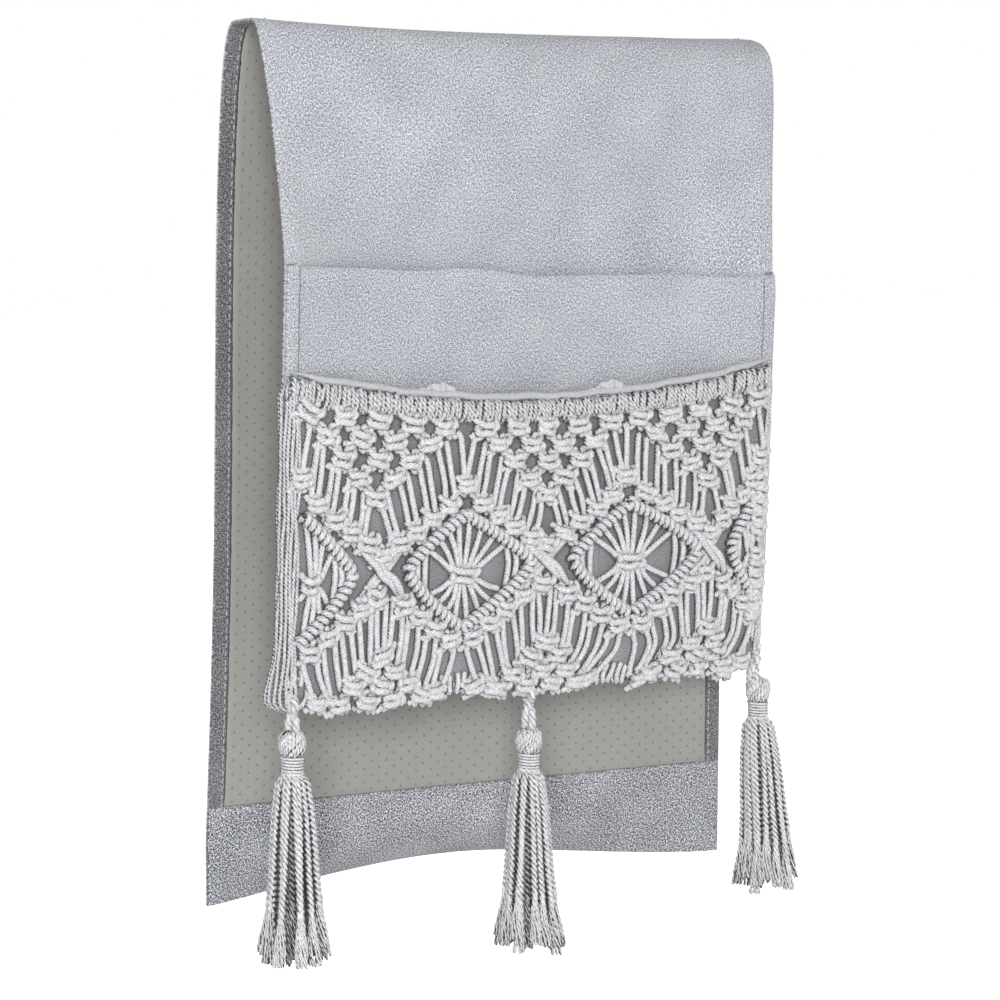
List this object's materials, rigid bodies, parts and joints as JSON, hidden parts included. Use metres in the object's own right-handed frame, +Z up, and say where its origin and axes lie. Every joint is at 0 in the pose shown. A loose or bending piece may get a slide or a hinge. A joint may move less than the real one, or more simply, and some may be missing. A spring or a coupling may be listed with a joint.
{
  "type": "sofa armrest caddy",
  "caption": "Cloth strip that hangs over a sofa arm, with a flat cloth pocket, a knotted cord pocket in compartments and hanging tassels",
  "frame": {"origin": "middle of the crown's underside, where it rests on the armrest", "axes": "+X along the armrest to the viewer's right, -Y towards the pocket side, +Z up"},
  "size_m": [0.3438, 0.1045, 0.5034],
  "materials": {
    "cloth": "fine heathered plain weave",
    "lining": "matt sheet with small anti-slip dots",
    "cord": "twisted cotton cord"
  },
  "bodies": {
    "crown": {"crown_cloth": "cloth", "crown_lining": "lining", "crown_left_hem": "cloth", "crown_right_hem": "cloth"},
    "front_flap": {"front_cloth": "cloth", "front_lining": "lining", "front_left_hem": "cloth", "front_right_hem": "cloth", "upper_pocket": "cloth", "upper_pocket_hem": "cloth", "net_pocket_lining": "cloth", "rim_piping": "cloth", "left_divider": "cloth", "right_divider": "cloth", "knotted_net": "cord"},
    "rear_flap": {"rear_cloth": "cloth", "rear_lining": "lining", "rear_left_hem": "cloth", "rear_right_hem": "cloth", "tail_band": "cloth"},
    "left_loop": {"left_tassel_loop": "cord"},
    "left_tassel": {"left_tassel_head": "cord", "left_tassel_neck_wrap": "cord", "left_tassel_skirt": "cord"},
    "middle_loop": {"middle_tassel_loop": "cord"},
    "middle_tassel": {"middle_tassel_head": "cord", "middle_tassel_neck_wrap": "cord", "middle_tassel_skirt": "cord"},
    "right_loop": {"right_tassel_loop": "cord"},
    "right_tassel": {"right_tassel_head": "cord", "right_tassel_neck_wrap": "cord", "right_tassel_skirt": "cord"}
  },
  "joints": [
    {"name": "front_fold", "type": "hinge", "parent": "crown", "child": "front_flap", "pos_m": [0, -0.01015, 0.0023], "axis": [-1, 0, 0], "range_deg": [0, 90]},
    {"name": "rear_fold", "type": "hinge", "parent": "crown", "child": "rear_flap", "pos_m": [0, 0.01015, 0.0023], "axis": [1, 0, 0], "range_deg": [0, 90]},
    {"name": "left_loop_swing", "type": "hinge", "parent": "front_flap", "child": "left_loop", "pos_m": [-0.153, -0.03575, -0.3477], "axis": [-1, 0, 0], "range_deg": [-6, 80]},
    {"name": "left_tassel_swing", "type": "hinge", "parent": "left_loop", "child": "left_tassel", "pos_m": [-0.153, -0.03575, -0.365], "axis": [0, 1, 0], "range_deg": [-60, 60]},
    {"name": "middle_loop_swing", "type": "hinge", "parent": "front_flap", "child": "middle_loop", "pos_m": [-0.004, -0.02736, -0.35359], "axis": [-1, 0, 0], "range_deg": [-6, 80]},
    {"name": "middle_tassel_swing", "type": "hinge", "parent": "middle_loop", "child": "middle_tassel", "pos_m": [-0.004, -0.02736, -0.38439], "axis": [0, 1, 0], "range_deg": [-60, 60]},
    {"name": "right_loop_swing", "type": "hinge", "parent": "front_flap", "child": "right_loop", "pos_m": [0.153, -0.0193, -0.3477], "axis": [-1, 0, 0], "range_deg": [-6, 80]},
    {"name": "right_tassel_swing", "type": "hinge", "parent": "right_loop", "child": "right_tassel", "pos_m": [0.153, -0.0193, -0.365], "axis": [0, 1, 0], "range_deg": [-60, 60]}
  ]
}
